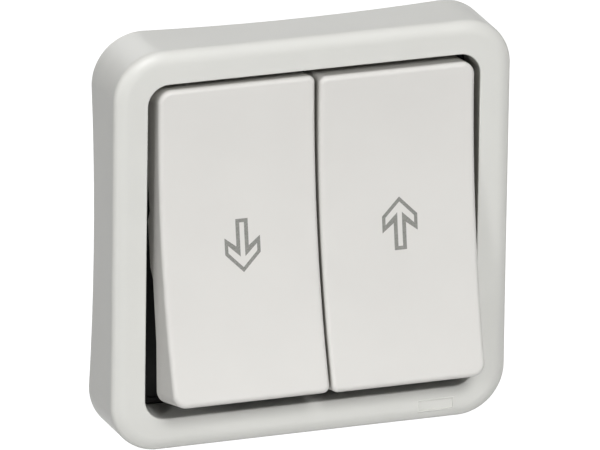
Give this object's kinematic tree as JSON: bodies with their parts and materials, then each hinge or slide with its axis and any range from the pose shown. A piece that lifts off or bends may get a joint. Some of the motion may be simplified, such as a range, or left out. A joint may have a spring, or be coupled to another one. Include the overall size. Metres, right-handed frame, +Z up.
{
  "type": "roller shutter switch",
  "caption": "Flush wall switch for a roller shutter: a square rounded cover frame with an up rocker and a down rocker side by side, over a claw-fixed mechanism.",
  "frame": {"origin": "centre of the fixing slots on the wall plane, which is the rear of the cover frame and plate", "axes": "+X to the right seen from the front, +Y into the wall, +Z up"},
  "size_m": [0.085, 0.0495, 0.085],
  "materials": {
    "grey_plastic": "satin light grey",
    "white_plastic": "satin off-white",
    "dark_rubber": "matte black",
    "charcoal_plastic": "matte charcoal",
    "housing_plastic": "matte grey",
    "zinc_steel": "zinc plated",
    "screw_steel": "passivated",
    "spring_steel": "drawn wire",
    "brass": "stamped",
    "nylon": "natural nylon"
  },
  "bodies": {
    "root": {"cover_frame": "grey_plastic", "wall_seal": "dark_rubber", "splash_gasket": "dark_rubber", "mechanism_cover": "charcoal_plastic", "mechanism_housing": "housing_plastic", "support_plate": "zinc_steel", "cover_screws": "screw_steel", "claw_screws": "screw_steel", "terminal_screws": "screw_steel", "common_contact": "brass", "fixed_contact_down": "brass", "fixed_contact_up": "brass", "terminal_down": "brass", "terminal_up": "brass", "terminal_common_down": "brass", "terminal_common_up": "brass"},
    "down_rocker": {"rocker_down": "white_plastic", "actuator_down": "nylon", "spring_down": "spring_steel"},
    "up_rocker": {"rocker_up": "white_plastic", "actuator_up": "nylon", "spring_up": "spring_steel"},
    "down_plunger": {"plunger_down": "nylon"},
    "up_plunger": {"plunger_up": "nylon"},
    "down_contact": {"rocking_contact_down": "brass"},
    "up_contact": {"rocking_contact_up": "brass"},
    "upper_claw": {"claw_upper": "zinc_steel"},
    "lower_claw": {"claw_lower": "zinc_steel"}
  },
  "joints": [
    {"name": "down_rocker_tilt", "type": "hinge", "parent": "root", "child": "down_rocker", "pos_m": [-0.012, -0.0062, 0], "axis": [1, 0, 0], "range_deg": [0, 20.4]},
    {"name": "up_rocker_tilt", "type": "hinge", "parent": "root", "child": "up_rocker", "pos_m": [0.012, -0.0062, 0], "axis": [1, 0, 0], "range_deg": [-1.5, 18.9]},
    {"name": "down_contact_swing", "type": "hinge", "parent": "root", "child": "down_contact", "pos_m": [-0.012, 0.0037, 0], "axis": [1, 0, 0], "range_deg": [-16, 0]},
    {"name": "up_contact_swing", "type": "hinge", "parent": "root", "child": "up_contact", "pos_m": [0.012, 0.0037, 0], "axis": [1, 0, 0], "range_deg": [-14.82, 1.18]},
    {"name": "down_plunger_slide", "type": "slide", "parent": "down_rocker", "child": "down_plunger", "axis": [0, -0.9842, 0.1771], "range_m": [0, 0.001], "stiffness_N_per_m": 300, "springref_m": -0.004, "deforming": ["spring_down"]},
    {"name": "up_plunger_slide", "type": "slide", "parent": "up_rocker", "child": "up_plunger", "axis": [0, -0.9885, 0.1513], "range_m": [0, 0.001], "stiffness_N_per_m": 300, "springref_m": -0.004, "deforming": ["spring_up"]},
    {"name": "upper_claw_draw", "type": "slide", "parent": "root", "child": "upper_claw", "axis": [0, -1, 0], "range_m": [0, 0.01]},
    {"name": "lower_claw_draw", "type": "slide", "parent": "root", "child": "lower_claw", "axis": [0, -1, 0], "range_m": [0, 0.01]}
  ],
  "couplings": [
    {"joint": "down_contact_swing", "follows": "down_rocker_tilt", "ratio": -0.78431},
    {"joint": "up_contact_swing", "follows": "up_rocker_tilt", "ratio": -0.78431}
  ]
}
